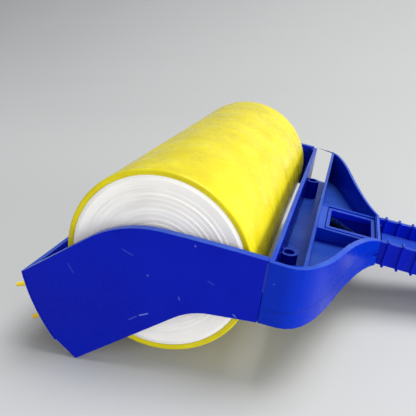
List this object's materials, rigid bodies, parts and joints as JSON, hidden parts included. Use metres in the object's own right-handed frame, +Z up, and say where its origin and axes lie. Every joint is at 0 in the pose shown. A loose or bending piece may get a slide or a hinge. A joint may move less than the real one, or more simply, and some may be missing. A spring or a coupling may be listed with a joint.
{
  "type": "lint roller",
  "caption": "Washable gel lint roller in a wide forked frame with a rubber-fingered front panel, a flared hollow yoke and a slim ribbed handle.",
  "frame": {"origin": "on the table under the middle of the part's bounding box, with the part lying on its two front arm corners and the tip of its handle, open side up", "axes": "+X towards the handle's tip, +Y along the roller axle, +Z up"},
  "size_m": [0.2743, 0.181, 0.0827],
  "materials": {
    "frame_blue": "glossy moulded polypropylene",
    "gel_yellow": "tacky glossy gel",
    "rubber_yellow": "soft satin rubber",
    "core_white": "satin with fine rings",
    "tube_white": "plain extruded",
    "steel": "bright drawn steel",
    "washer_nylon": "natural nylon"
  },
  "bodies": {
    "frame": {"cradle_frame": "frame_blue", "yoke": "frame_blue", "yoke_screws": "steel", "handle": "frame_blue", "handle_pins": "frame_blue", "finger_panel": "frame_blue", "finger_strip_upper": "rubber_yellow", "finger_strip_lower": "rubber_yellow", "axle_rod": "steel", "thrust_washers": "washer_nylon"},
    "roller": {"gel_sleeve": "gel_yellow", "core_tube": "tube_white", "end_cap_near": "core_white", "end_cap_far": "core_white"}
  },
  "joints": [
    {"name": "roller_spin", "type": "hinge", "parent": "frame", "child": "roller", "pos_m": [-0.06942, 0, 0.04487], "axis": [0, 1, 0], "continuous": true}
  ]
}
